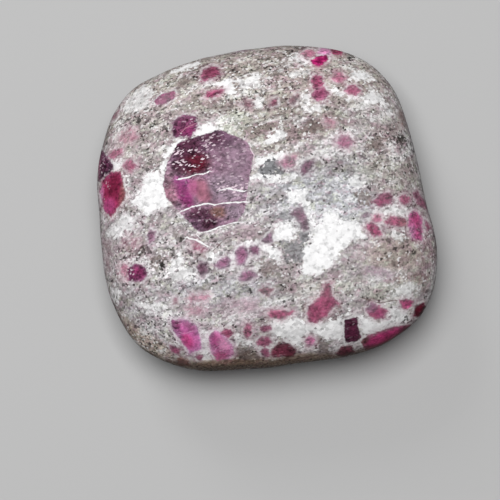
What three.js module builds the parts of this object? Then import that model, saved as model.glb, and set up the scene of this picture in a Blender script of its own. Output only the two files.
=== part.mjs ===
// A tumbled, polished stone of ruby-bearing rock, in millimetres with +Z up.
// The rock is one piece: its ruby crystals are ground flush with the pale matrix around them, so the
// whole stone is one solid. Its outline is a rounded square, domed above and ground flat below, with
// the broad worn flats that tumbling leaves on the shoulders. The origin is the middle of the
// bounding box at the resting face. Seen from above, +X is to the right and +Y away.

import * as THREE from "three";
import { mergeVertices } from "three/addons/utils/BufferGeometryUtils.js";

// Overall size of the finished stone
const LENGTH_X = 35.4;
const WIDTH_Y = 34.2;
const THICKNESS = 11.0;

// Height of the girdle, the widest line around the stone, above the resting face
const GIRDLE_HEIGHT = 4.8;
// How much of the rounded underside was ground away to make the resting face
const GROUND_OFF = 0.7;

// Fullness of the dome and of the underside: 2 is an ellipse, more is flatter with a rounder shoulder
const CROWN_FULLNESS = 2.9;
const UNDERSIDE_FULLNESS = 2.6;

// The girdle's outline: angle from +X in degrees, and reach from the middle
const OUTLINE = [
  { angle: 4, reach: 16.7 }, // right side
  { angle: 24, reach: 16.85 },
  { angle: 42, reach: 18.3 },
  { angle: 58, reach: 18.65 }, // far right corner
  { angle: 76, reach: 17.55 },
  { angle: 97, reach: 16.75 }, // far side
  { angle: 118, reach: 17.35 },
  { angle: 142, reach: 18.95 }, // far left corner
  { angle: 165, reach: 18.3 },
  { angle: 186, reach: 17.55 }, // left side
  { angle: 207, reach: 18.6 },
  { angle: 226, reach: 19.5 }, // near left corner
  { angle: 245, reach: 18.35 },
  { angle: 264, reach: 16.65 },
  { angle: 284, reach: 16.4 }, // near side
  { angle: 306, reach: 18.1 },
  { angle: 326, reach: 19.6 }, // near right corner
  { angle: 345, reach: 18.6 },
];

// Worn flats: the way each faces, as an angle from +X and a tilt from straight up, in degrees, and
// how deep it was worn below the round form
const WORN_FLATS = [
  { angle: 228, tilt: 48, depth: 0.55 }, // near left shoulder
  { angle: 272, tilt: 79, depth: 0.3 }, // near wall
  { angle: 273, tilt: 42, depth: 0.45 }, // near shoulder
  { angle: 322, tilt: 46, depth: 0.5 }, // near right shoulder
  { angle: 8, tilt: 76, depth: 0.25 }, // right wall
  { angle: 10, tilt: 44, depth: 0.45 }, // right shoulder
  { angle: 58, tilt: 44, depth: 0.4 }, // far right shoulder
  { angle: 140, tilt: 46, depth: 0.45 }, // far left shoulder
  { angle: 190, tilt: 58, depth: 0.35 }, // left side
  { angle: 300, tilt: 5, depth: 0.12 }, // top of the dome
  { angle: 120, tilt: 9, depth: 0.1 },
  { angle: 205, tilt: 132, depth: 0.4 }, // underside
  { angle: 40, tilt: 136, depth: 0.4 },
];
// Over this depth a worn flat blends back into the round form
const WEAR_BLEND = 0.25;

// Each of the 20 faces of the starting ball is cut into (FINENESS + 1) squared triangles
const FINENESS = 20;

const polar = ({ angle, reach }) =>
  new THREE.Vector3().setFromCylindricalCoords(reach, THREE.MathUtils.degToRad(angle), 0);

// The girdle as a smooth closed curve in the XY plane. Cylindrical coordinates turn about Y and
// measure from +Z, so they give (sine, 0, cosine), which becomes (cosine, sine) here.
function girdleCurve() {
  const points = OUTLINE.map(polar).map(({ x, z }) => new THREE.Vector3(z, x, 0));
  return new THREE.CatmullRomCurve3(points, true, "centripetal");
}

// The girdle's reach at any angle, read between closely spaced points of its curve
function reachByAngle() {
  const steps = 720;
  const table = girdleCurve()
    .getPoints(steps)
    .slice(0, steps)
    .map((p) => ({ angle: Math.atan2(p.y, p.x), reach: Math.hypot(p.x, p.y) }))
    .sort((a, b) => a.angle - b.angle);
  const turn = 2 * Math.PI;
  const first = table[0];
  const last = table[table.length - 1];
  table.unshift({ angle: last.angle - turn, reach: last.reach });
  table.push({ angle: first.angle + turn, reach: first.reach });
  return (angle) => {
    const after = table.findIndex((entry) => entry.angle > angle);
    const [low, high] = [table[after - 1], table[after]];
    const share = (angle - low.angle) / (high.angle - low.angle);
    return THREE.MathUtils.lerp(low.reach, high.reach, share);
  };
}

// Moves a point of the unit ball out to the stone: its plan follows the girdle, its height the dome
// above the girdle or the underside below it
function shape(point, reachAt) {
  const out = Math.min(1, Math.hypot(point.x, point.y));
  const reach = reachAt(Math.atan2(point.y, point.x));
  const above = point.z >= 0;
  const fullness = above ? CROWN_FULLNESS : UNDERSIDE_FULLNESS;
  const most = above ? THICKNESS - GIRDLE_HEIGHT : GIRDLE_HEIGHT + GROUND_OFF;
  const rise = most * Math.sqrt(1 - out ** fullness);
  point.set(point.x * reach, point.y * reach, GIRDLE_HEIGHT + (above ? rise : -rise));
}

// Presses the worn flats into the points, each down to a plane at its depth below the outermost point
function wear(points) {
  for (const { angle, tilt, depth } of WORN_FLATS) {
    const facing = new THREE.Vector3().setFromSphericalCoords(
      1,
      THREE.MathUtils.degToRad(tilt),
      THREE.MathUtils.degToRad(angle),
    );
    facing.set(facing.z, facing.x, facing.y);
    const plane = Math.max(...points.map((p) => p.dot(facing))) - depth;
    for (const p of points) {
      const over = Math.max(0, p.dot(facing) - plane);
      p.addScaledVector(facing, (-over * over) / (over + WEAR_BLEND));
    }
  }
}

// Grinds the underside flat at the resting face
function grindFlat(points) {
  for (const p of points) {
    p.z = Math.max(0, p.z);
  }
}

// The finished solid, with its bounding box fitted to the overall size and standing on the origin
function stoneGeometry() {
  const ball = new THREE.IcosahedronGeometry(1, FINENESS);
  ball.deleteAttribute("normal");
  ball.deleteAttribute("uv");
  const geometry = mergeVertices(ball);
  const position = geometry.getAttribute("position");
  const points = Array.from({ length: position.count }, (_, i) =>
    new THREE.Vector3().fromBufferAttribute(position, i),
  );

  const reachAt = reachByAngle();
  points.forEach((p) => shape(p, reachAt));
  wear(points);
  grindFlat(points);

  const box = new THREE.Box3().setFromPoints(points);
  const middle = box.getCenter(new THREE.Vector3()).setZ(box.min.z);
  const size = box.getSize(new THREE.Vector3());
  const fit = new THREE.Vector3(LENGTH_X, WIDTH_Y, THICKNESS).divide(size);
  points.forEach((p, i) => {
    p.sub(middle).multiply(fit);
    position.setXYZ(i, p.x, p.y, p.z);
  });
  geometry.computeVertexNormals();
  return geometry;
}

// The matrix colour, the most of what shows
const rock = new THREE.MeshStandardMaterial({ color: 0xa89c96, roughness: 0.25, metalness: 0 });

const stone = new THREE.Mesh(stoneGeometry(), rock);
stone.name = "stone";

const part = new THREE.Group();
part.name = "ruby_stone";
part.add(stone);

export default part;
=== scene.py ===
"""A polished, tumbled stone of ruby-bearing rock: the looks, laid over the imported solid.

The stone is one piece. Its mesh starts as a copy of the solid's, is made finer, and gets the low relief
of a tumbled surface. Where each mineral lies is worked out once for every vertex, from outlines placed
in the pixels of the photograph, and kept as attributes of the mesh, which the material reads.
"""

import math
from typing import NamedTuple

import bmesh
import bpy
import numpy as np
from bpy.props import FloatProperty, FloatVectorProperty, IntProperty, PointerProperty
from mathutils import Matrix, Vector


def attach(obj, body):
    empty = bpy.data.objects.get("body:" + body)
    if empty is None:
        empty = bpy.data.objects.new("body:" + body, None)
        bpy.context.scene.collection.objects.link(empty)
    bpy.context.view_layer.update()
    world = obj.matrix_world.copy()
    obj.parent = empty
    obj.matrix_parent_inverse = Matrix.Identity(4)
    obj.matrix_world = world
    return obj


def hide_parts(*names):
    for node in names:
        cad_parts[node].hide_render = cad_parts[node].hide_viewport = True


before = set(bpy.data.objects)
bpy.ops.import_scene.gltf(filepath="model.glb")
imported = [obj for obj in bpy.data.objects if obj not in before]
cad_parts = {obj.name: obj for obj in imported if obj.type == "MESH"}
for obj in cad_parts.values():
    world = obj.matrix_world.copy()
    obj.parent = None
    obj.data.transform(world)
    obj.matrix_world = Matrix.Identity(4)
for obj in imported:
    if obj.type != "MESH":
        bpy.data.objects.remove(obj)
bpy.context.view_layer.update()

bl_info = {
    "name": "Ruby Stone",
    "version": (1, 0, 0),
    "blender": (4, 5, 0),
    "location": "3D View > Sidebar > Ruby Stone",
    "description": "Builds a tumbled stone of ruby-bearing rock and the stage that shows it",
    "category": "Object",
}

MM = 0.001
STONE_NODE = "stone"
STONE_BODY = "root"
STONE_SLOT = "ruby_rock"
STONE_PIECE = "polished_stone"

# The photograph: its side in pixels, its scale at the floor in pixels in a metre, and the way its camera
# stood. The camera looks along +Y and down, at a point of the floor near the stone.
PHOTO_SIDE = 500
PHOTO_SCALE = 9500.0
PHOTO_DISTANCE = 0.320
PHOTO_ELEVATION = math.radians(81)
PHOTO_AIM = Vector((-1.77 * MM, -3.74 * MM, 0))
# The side of a pixel on the dome, which is nearer the camera than the floor
PIXEL = 1 / 9650.0

# The rock's layers rise to the right by this angle, seen from above
LAYERING = math.radians(14)


class Mark(NamedTuple):
    """A patch of one mineral: its colour, the width in mm over which its edge fades, how solid it is, and
    the corners of its outline in photograph pixels."""

    tint: str
    edge: float
    fill: float
    outline: str


class Zone(NamedTuple):
    """A soft oval: its middle, half length and half width in photograph pixels, its turn in degrees and
    its strength."""

    middle: tuple
    reach: tuple
    turn: float
    strength: float


class Wash(NamedTuple):
    """A soft oval, as a zone is, of one colour."""

    tint: str
    middle: tuple
    reach: tuple
    turn: float
    strength: float


class Crack(NamedTuple):
    """A healed crack: its colour, half its width in mm and its course in photograph pixels."""

    tint: str
    width: float
    course: str


# The largest crystal, left of the middle, and its colour zones
GREAT_CRYSTAL = Mark(
    "mauve", 0.07, 1.0,
    "178,143 220,130 247,142 253,155 247,190 244,211 236,222 205,232 197,230 168,199 163,186 168,163",
)
GREAT_ZONES = (
    Wash("plum", (191, 148), (25, 13), 14, 1.0),
    Wash("plum", (219, 138), (17, 9), -5, 0.8),
    Wash("garnet", (194, 164), (17, 12), 10, 1.0),
    Wash("dusty", (170, 190), (9, 18), 0, 0.6),
    Wash("rose", (172, 194), (8, 12), -30, 0.5),
    Wash("blackberry", (187, 147), (16, 10), 14, 0.9),
    Wash("blackberry", (181, 166), (11, 7), 5, 0.9),
    Wash("blackberry", (212, 138), (12, 6), -5, 0.65),
    Wash("violet", (182, 183), (10, 6), -30, 0.9),
    Wash("magenta", (185, 196), (15, 7), -62, 0.85),
    Wash("violet", (186, 183), (4, 4), 0, 0.8),
    Wash("mulberry", (179, 188), (9, 7), -40, 0.45),
    Wash("coral", (199, 187), (10, 8), 0, 0.9),
    Wash("coral", (204, 195), (8, 8), -20, 0.9),
    Wash("fuchsia", (193, 187), (5, 9), 10, 0.7),
    Wash("garnet", (209, 193), (3, 9), 12, 0.5),
    Wash("lilac", (229, 188), (20, 15), 0, 0.9),
    Wash("lilac", (215, 183), (6, 9), 0, 0.6),
    Wash("lilac", (238, 160), (13, 20), 0, 0.4),
    Wash("plum", (202, 220), (17, 12), 10, 0.9),
    Wash("blackberry", (210, 223), (9, 8), 25, 0.9),
    Wash("blackberry", (199, 213), (13, 6), 12, 0.8),
    Wash("russet", (219, 212), (9, 6), -10, 0.9),
    Wash("lilac", (235, 212), (10, 8), 0, 0.9),
)

# Where crystals are clear, where they are deep and dark, and where they are full of white flaws
CLEAR_ZONES = (
    Zone((199, 191), (13, 11), 0, 1.0),
    Zone((185, 193), (16, 7), -62, 0.6),
    Zone((232, 160), (22, 28), 0, 0.6),
    Zone((111, 194), (10, 22), -8, 0.6),
    Zone((190, 339), (18, 14), -60, 0.6),
    Zone((221, 346), (13, 17), 15, 0.7),
    Zone((388, 336), (28, 10), 18, 0.6),
    Zone((320, 306), (18, 22), 0, 0.5),
    Zone((376, 312), (12, 10), 0, 0.5),
)
DEEP_ZONES = (
    Zone((178, 158), (13, 18), 0, 1.0),
    Zone((190, 170), (20, 8), 8, 0.8),
    Zone((204, 138), (16, 7), 8, 0.7),
    Zone((200, 222), (16, 10), 0, 1.0),
    Zone((182, 124), (12, 10), 0, 0.8),
    Zone((105, 165), (8, 13), 0, 0.9),
    Zone((140, 272), (6, 6), 0, 0.8),
)
FLAWED_ZONES = (
    Zone((191, 157), (27, 17), 12, 1.2),
    Zone((233, 184), (18, 11), 0, 1.5),
    Zone((222, 152), (30, 22), 0, 1.0),
    Zone((200, 214), (16, 9), -10, 0.7),
    Zone((184, 126), (14, 12), 0, 0.9),
    Zone((105, 168), (6, 12), 0, 1.0),
    Zone((106, 190), (5, 12), 0, 0.9),
    Zone((130, 273), (5, 9), 0, 1.0),
    Zone((186, 328), (14, 9), 0, 0.5),
    Zone((222, 345), (9, 10), 0, 0.5),
    Zone((376, 333), (12, 4), 18, 0.6),
    Zone((414, 228), (6, 12), 0, 0.3),
)

# Colour zones of the other crystals
CRYSTAL_ZONES = (
    Wash("maroon", (211, 73), (10, 7), 0, 0.5),
    Wash("plum", (105, 165), (9, 14), 0, 0.6),
    Wash("rose", (98, 162), (3, 16), 0, 0.6),
    Wash("garnet", (114, 187), (6, 12), -10, 0.55),
    Wash("fuchsia", (109, 206), (6, 8), -15, 0.85),
    Wash("orchid", (101, 198), (2.5, 12), -10, 0.7),
    Wash("russet", (123, 194), (4, 14), -8, 0.7),
    Wash("mauve", (184, 124), (13, 9), 0, 0.35),
    Wash("mulberry", (163, 98), (12, 7), 15, 0.6),
    Wash("magenta", (190, 131), (7, 5), 0, 0.4),
    Wash("fuchsia", (138, 270), (4, 3), 0, 0.8),
    Wash("mulberry", (175, 324), (6, 6), -20, 0.8),
    Wash("mauve", (190, 325), (9, 4), -25, 0.6),
    Wash("cherry", (187, 341), (6, 8), 30, 0.75),
    Wash("magenta", (213, 340), (5, 9), 10, 0.55),
    Wash("milk", (224, 345), (5, 7), 15, 0.4),
    Wash("cerise", (220, 356), (9, 4), 0, 0.6),
    Wash("mauve", (320, 95), (9, 8), 0, 0.35),
    Wash("rose", (352, 90), (10, 6), 0, 0.5),
    Wash("mauve", (288, 162), (11, 8), 0, 0.5),
    Wash("mauve", (344, 142), (12, 9), 0, 0.6),
    Wash("lilac", (224, 263), (11, 8), 0, 0.6),
    Wash("lilac", (242, 256), (9, 11), 0, 0.5),
    Wash("lilac", (268, 239), (7, 7), 0, 0.5),
    Wash("lilac", (247, 276), (11, 7), 0, 0.4),
    Wash("rose", (248, 330), (6, 9), 0, 0.5),
    Wash("raspberry", (264, 342), (10, 6), 0, 0.6),
    Wash("orchid", (311, 341), (6, 6), 0, 0.45),
    Wash("dusty", (327, 289), (6, 10), 0, 0.6),
    Wash("cherry", (416, 220), (3, 9), -8, 0.35),
    Wash("orchid", (412, 232), (4, 9), -8, 0.8),
    Wash("brick", (403, 223), (5, 4), 0, 0.5),
    Wash("cherry", (407, 304), (5, 4), 0, 0.8),
    Wash("lilac", (371, 307), (7, 6), 0, 0.8),
    Wash("fuchsia", (380, 314), (6, 4), -30, 0.5),
    Wash("garnet", (420, 311), (9, 10), 0, 1.0),
    Wash("maroon", (365, 344), (7, 7), 0, 0.8),
    Wash("cherry", (385, 337), (20, 5), 20, 0.9),
    Wash("dusty", (378, 330), (18, 3), 17, 0.7),
    Wash("garnet", (408, 330), (8, 5), 20, 0.6),
    Wash("russet", (364, 340), (5, 4), 20, 0.4),
)

# The crystals that show on the dome, by area
CRYSTALS = (
    GREAT_CRYSTAL,
    # Above the great crystal, left of the middle
    Mark("mulberry", 0.12, 1.0, "172,131 173,121 184,115 195,116 198,126 191,137 173,137"),
    Mark("wine", 0.09, 1.0, "154,102 161,95 175,91 174,98 167,103 157,105"),
    Mark("dusty", 0.2, 0.8, "111,119 114,113 119,111 117,118 113,121"),
    Mark("wine", 0.22, 1.0, "200,76 204,69 212,65 218,67 222,74 213,79 201,83"),
    Mark("raspberry", 0.2, 1.0, "204,98 206,92 212,90 226,89 220,94 212,98"),
    Mark("rose", 0.4, 0.5, "116,139 122,132 134,130 138,136 132,142 120,142"),
    # Left rim
    Mark("blackberry", 0.1, 1.0, "97,148 102,150 108,158 113,166 112,170 105,176 99,181"),
    Mark("cerise", 0.12, 1.0, "103,179 111,172 120,172 124,188 126,197 120,205 111,217 105,211 100,192"),
    Mark("raspberry", 0.18, 0.85, "107,156 113,150 122,149 122,155 114,159"),
    Mark("raspberry", 0.25, 0.85, "124,168 126,161 132,159 137,166 131,172"),
    Mark("rose", 0.5, 0.35, "121,240 130,235 141,238 137,247 126,249"),
    Mark("dusty", 0.4, 0.6, "103,243 110,240 112,250 110,272 105,262"),
    Mark("mulberry", 0.12, 1.0, "127,269 136,264 144,267 148,274 143,281 129,281"),
    Mark("rose", 0.3, 0.8, "121,266 128,264 130,272 128,281 122,277"),
    Mark("mauve", 0.16, 0.95, "147,236 150,230 156,231 154,240 149,244"),
    Mark("dusty", 0.2, 0.75, "171,304 173,298 177,296 179,304"),
    # Far side, right of the middle
    Mark("rose", 0.12, 0.9, "301,55 305,51 312,50 317,54 311,58 304,58"),
    Mark("crimson", 0.09, 1.0, "311,61 317,57 327,55 328,59 324,62 319,66 314,65"),
    Mark("orchid", 0.16, 0.9, "318,53 321,48 331,48 330,54 323,55"),
    Mark("cerise", 0.1, 1.0, "330,49 335,46 344,49 342,54 333,54"),
    Mark("raspberry", 0.14, 1.0, "311,80 314,75 322,76 324,84 320,88 313,88"),
    Mark("raspberry", 0.12, 1.0, "312,95 315,88 324,87 329,93 326,99 318,101 313,99"),
    Mark("rose", 0.18, 0.9, "331,79 336,72 343,74 346,79 339,83"),
    Mark("raspberry", 0.12, 0.95, "344,91 349,86 355,85 361,91 356,95 348,94"),
    Mark("dusty", 0.2, 0.85, "289,101 293,96 299,93 299,99 293,104"),
    Mark("dusty", 0.2, 1.0, "269,105 272,99 277,98 278,104 273,107"),
    Mark("dusty", 0.25, 0.9, "239,104 246,100 254,104 250,108"),
    Mark("rose", 0.2, 0.8, "336,143 341,135 349,135 354,143 348,149 339,147"),
    Mark("rose", 0.4, 0.55, "323,123 327,118 334,121 334,127 327,127"),
    Mark("rose", 0.2, 0.75, "279,162 286,156 297,156 295,166 285,168"),
    Mark("dusk", 0.22, 0.95, "299,170 304,161 315,159 313,168 303,176"),
    Mark("russet", 0.25, 0.6, "397,113 401,111 405,122 402,128"),
    # Right side
    Mark("wine", 0.16, 0.9, "372,202 381,194 388,192 393,198 390,204 379,207"),
    Mark("raspberry", 0.18, 0.9, "399,198 404,194 410,197 409,203 402,205"),
    Mark("wine", 0.2, 0.9, "412,194 417,191 425,200 429,210 419,207"),
    Mark("rose", 0.15, 0.9, "372,219 375,214 380,215 382,220 376,224"),
    Mark("raspberry", 0.15, 0.95, "365,227 370,222 378,226 382,235 374,237"),
    Mark("raspberry", 0.16, 0.9, "385,222 391,216 403,218 409,222 402,227 387,225"),
    Mark("fuchsia", 0.14, 0.95, "410,213 416,211 422,219 422,232 421,241 412,238 408,224"),
    Mark("wine", 0.15, 0.95, "424,219 428,222 431,229 427,232 425,226"),
    Mark("dusk", 0.16, 0.85, "360,217 364,213 371,212 369,217 363,219"),
    # Middle
    Mark("raspberry", 0.25, 0.6, "189,240 197,241 207,249 204,253 193,249"),
    Mark("mauve", 0.14, 1.0, "214,266 219,259 228,256 231,260 229,266 222,270"),
    Mark("mauve", 0.15, 1.0, "235,252 240,246 247,248 249,256 245,264 239,266 236,260"),
    Mark("mauve", 0.2, 1.0, "248,249 253,245 259,247 259,256 252,254"),
    Mark("dusk", 0.12, 1.0, "261,241 267,235 271,232 273,242 266,243"),
    Mark("mauve", 0.16, 0.95, "238,278 243,271 251,270 257,275 250,281 242,282"),
    Mark("dusty", 0.2, 0.9, "257,292 264,286 274,289 268,296"),
    Mark("dusk", 0.2, 1.0, "196,267 201,261 208,263 208,273 200,276"),
    Mark("dusk", 0.15, 0.9, "291,214 295,208 302,208 307,218 309,229 304,231 297,220"),
    # Near side
    Mark("pink", 0.12, 1.0, "171,320 187,320 196,325 200,338 201,349 190,353 180,339 174,331"),
    Mark("orchid", 0.12, 1.0, "209,337 215,330 224,335 232,345 234,354 228,359 216,360 211,350"),
    Mark("raspberry", 0.1, 1.0, "221,334 225,329 231,330 233,334 228,338"),
    Mark("wine", 0.14, 0.95, "169,345 176,346 181,350 178,355 172,351"),
    Mark("russet", 0.2, 0.9, "174,361 180,356 189,360 190,365 180,366"),
    Mark("raspberry", 0.12, 0.95, "244,329 247,323 251,325 252,334 247,338 244,334"),
    Mark("wine", 0.12, 0.95, "260,330 262,326 271,325 271,329 264,333"),
    Mark("wine", 0.14, 0.95, "256,342 261,337 268,337 272,342 266,346 258,346"),
    Mark("maroon", 0.12, 1.0, "271,352 274,347 279,343 288,343 296,350 294,357 272,357"),
    Mark("wine", 0.12, 0.95, "260,351 264,347 269,350 270,356 264,357"),
    Mark("wine", 0.12, 0.9, "196,357 199,354 203,356 201,360 198,360"),
    Mark("raspberry", 0.18, 0.9, "267,313 272,310 294,311 291,315 281,320 271,318"),
    Mark(
        "raspberry", 0.2, 0.95,
        "307,318 308,306 316,300 322,293 325,283 331,281 332,296 339,303 331,310 325,318 316,323 309,322",
    ),
    Mark("blackberry", 0.06, 1.0, "345,321 351,319 357,317 358,329 361,338 356,341 345,342"),
    Mark("raspberry", 0.16, 0.95, "366,309 371,302 379,305 387,311 384,318 376,319 369,315"),
    Mark("raspberry", 0.12, 0.95, "399,301 405,299 414,301 411,307 404,310"),
    Mark("cerise", 0.1, 1.0, "413,316 416,306 423,303 426,307 420,317"),
    Mark("raspberry", 0.1, 1.0, "361,341 372,334 392,327 411,325 404,337 386,345 366,351"),
    Mark("maroon", 0.12, 1.0, "335,354 342,346 352,346 355,352 345,358"),
    Mark("rose", 0.18, 0.95, "305,341 309,336 315,338 315,344 309,347"),
    Mark("rose", 0.3, 0.7, "187,299 192,295 210,294 207,300 190,302"),
    Mark("rose", 0.45, 0.4, "184,308 196,304 206,307 202,314 188,315"),
    Mark("blush", 0.6, 0.6, "228,306 236,300 256,300 256,309 240,314"),
    Mark("mauve", 0.3, 0.55, "367,268 379,270 393,274 390,278 377,275 368,272"),
)

# White feldspar, by area: the edge, fill and outline of each patch
FELDSPAR_PATCHES = (
    # Around the great crystal
    (
        0.16, 1.0,
        "198,126 210,124 221,129 212,134 194,139 181,144 172,153 167,165 163,180 160,172 161,157 168,147 "
        "176,140 192,137",
    ),
    (0.25, 1.0, "146,174 158,170 164,178 163,190 170,200 166,207 157,208 147,219 140,209 131,203 142,188"),
    (0.14, 1.0, "110,161 123,158 123,166 120,172 112,169"),
    (0.14, 1.0, "122,174 127,175 130,184 127,191 123,186"),
    (0.4, 0.8, "124,212 136,214 133,227 120,238 107,238 106,229 118,224"),
    (0.14, 1.0, "253,166 258,159 270,154 285,152 284,157 270,161 262,166"),
    (0.2, 0.95, "250,177 258,172 270,172 281,179 296,171 294,178 285,185 272,181 258,180"),
    (0.22, 0.95, "287,190 304,190 308,195 301,203 288,200"),
    (0.16, 0.9, "300,196 306,196 310,208 312,222 315,236 309,236 307,222 304,208"),
    # Middle
    (0.16, 1.0, "275,228 280,223 289,222 298,229 294,240 281,240 270,245 271,237"),
    (
        0.2, 1.0,
        "325,215 336,209 342,221 362,224 365,237 352,242 340,252 334,266 308,277 300,268 304,250 311,239 "
        "312,231 323,224",
    ),
    (0.25, 0.9, "208,256 214,252 224,252 220,258 211,263"),
    (0.25, 0.9, "229,270 231,257 236,255 236,264"),
    (0.25, 0.9, "236,246 248,242 260,243 259,246 246,246"),
    (0.25, 0.9, "259,246 272,244 280,250 280,260 271,263 268,253"),
    (0.25, 0.9, "164,278 172,266 178,252 184,256 180,270 172,278"),
    (0.35, 0.8, "168,275 180,266 192,268 190,279 174,282"),
    (0.2, 0.9, "188,268 196,267 199,274 196,280 190,277"),
    (0.35, 0.7, "140,305 152,301 166,303 160,312 146,312"),
    (0.3, 0.75, "111,288 116,284 121,291 118,303 113,297"),
    # Near side
    (
        0.22, 0.93,
        "270,324 283,318 295,316 308,323 324,319 344,318 345,341 326,338 312,334 301,348 285,341 272,337",
    ),
    (0.25, 0.95, "359,317 376,321 400,321 386,329 362,337"),
    (0.2, 0.9, "343,315 350,309 353,313 347,319"),
    (0.25, 0.8, "200,330 208,332 209,358 203,359 202,346"),
    (0.25, 0.85, "234,334 243,334 252,342 246,347 238,343"),
    (0.25, 0.9, "390,308 404,311 412,318 404,324 392,319"),
    # Far side
    (0.3, 0.65, "120,111 126,100 131,90 142,83 153,90 149,106 138,112"),
    (0.18, 0.95, "174,71 184,65 199,60 196,67 184,72"),
    (0.2, 0.95, "209,84 220,80 236,77 247,80 232,83 237,91 230,96 222,88"),
    (0.3, 0.8, "240,88 246,76 258,72 264,76 258,84 248,90"),
    (0.25, 0.85, "253,104 257,95 265,98 264,108 256,109"),
    (0.22, 0.9, "262,146 268,136 280,126 287,131 285,139 274,141"),
    (0.2, 0.9, "301,96 306,91 312,97 307,105 301,102"),
    (0.25, 0.85, "293,56 298,51 303,59 311,64 300,65"),
    (0.3, 0.75, "291,73 304,69 312,73 303,77 293,77"),
    (0.2, 0.95, "345,84 350,73 360,71 375,79 366,82 354,80"),
    (0.2, 0.95, "329,88 338,91 346,94 358,97 351,102 340,98"),
    (0.3, 0.8, "297,104 308,108 324,104 320,112 302,111"),
    (0.25, 0.8, "386,236 394,230 404,232 402,240 392,241"),
    (0.25, 0.8, "360,97 372,88 384,97 387,106 376,105 364,104"),
    (0.3, 0.8, "377,103 384,100 397,113 392,117 381,109"),
    # Right side
    (0.25, 0.85, "368,210 378,208 392,204 412,210 407,217 390,214 374,214"),
    (0.3, 0.8, "348,181 355,176 366,182 361,188 351,187"),
    (0.35, 0.75, "386,296 396,286 414,284 420,292 408,298"),
)
FELDSPAR = tuple(Mark("feldspar", *patch) for patch in FELDSPAR_PATCHES)

# Dark minerals, slate grey, brown and black: the colour, fill and outline of each patch
DARK_PATCHES = (
    ("slate", 1.0, "255,171 264,163 273,158 281,161 279,172 266,176"),
    ("slate", 0.95, "276,166 288,165 286,173 279,176"),
    ("mica", 0.95, "194,78 200,73 201,75 196,79"),
    ("mica", 0.95, "159,262 162,259 164,262 164,270 160,269"),
    ("brown", 0.8, "152,268 155,264 158,268 156,272"),
    ("brown", 0.8, "151,259 160,256 168,258 160,262 152,264"),
    ("slate", 0.9, "300,226 306,220 311,232 307,246 300,241"),
    ("slate", 0.75, "282,243 296,240 304,246 302,260 290,262 284,254"),
    ("slate", 0.6, "277,216 285,212 291,216 283,224"),
    ("brown", 0.7, "261,262 272,258 277,266 270,276 261,272"),
    ("brown", 0.75, "355,194 363,190 371,196 370,205 360,203"),
    ("mica", 0.9, "402,323 408,318 409,320 404,324"),
    ("brown", 0.7, "317,352 318,341 323,339 330,346 329,353"),
    ("mica", 0.9, "317,346 319,341 322,344 320,349"),
    ("brown", 0.85, "302,306 306,301 310,304 309,314 305,312"),
    ("brown", 0.8, "333,307 338,303 342,310 337,314"),
    ("brown", 0.6, "231,347 243,345 252,352 262,356 250,361 234,356"),
    ("brown", 0.7, "180,86 181,76 187,74 191,82 186,88"),
    ("brown", 0.6, "270,76 276,62 286,60 284,70 276,78"),
    ("brown", 0.6, "202,106 210,101 232,104 228,112 212,110"),
    ("mica", 0.85, "393,139 400,136 406,140 402,143"),
    ("mica", 0.95, "349,57 351,55 353,58 351,60"),
    ("mica", 0.85, "290,52 298,49 307,46 306,48 297,51"),
    ("brown", 0.7, "366,146 374,135 383,140 382,149 372,150"),
    ("brown", 0.85, "303,130 312,122 320,126 314,132"),
)
DARK_EDGE = 0.12
DARKS = tuple(Mark(tint, DARK_EDGE, *patch) for tint, *patch in DARK_PATCHES)
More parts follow.
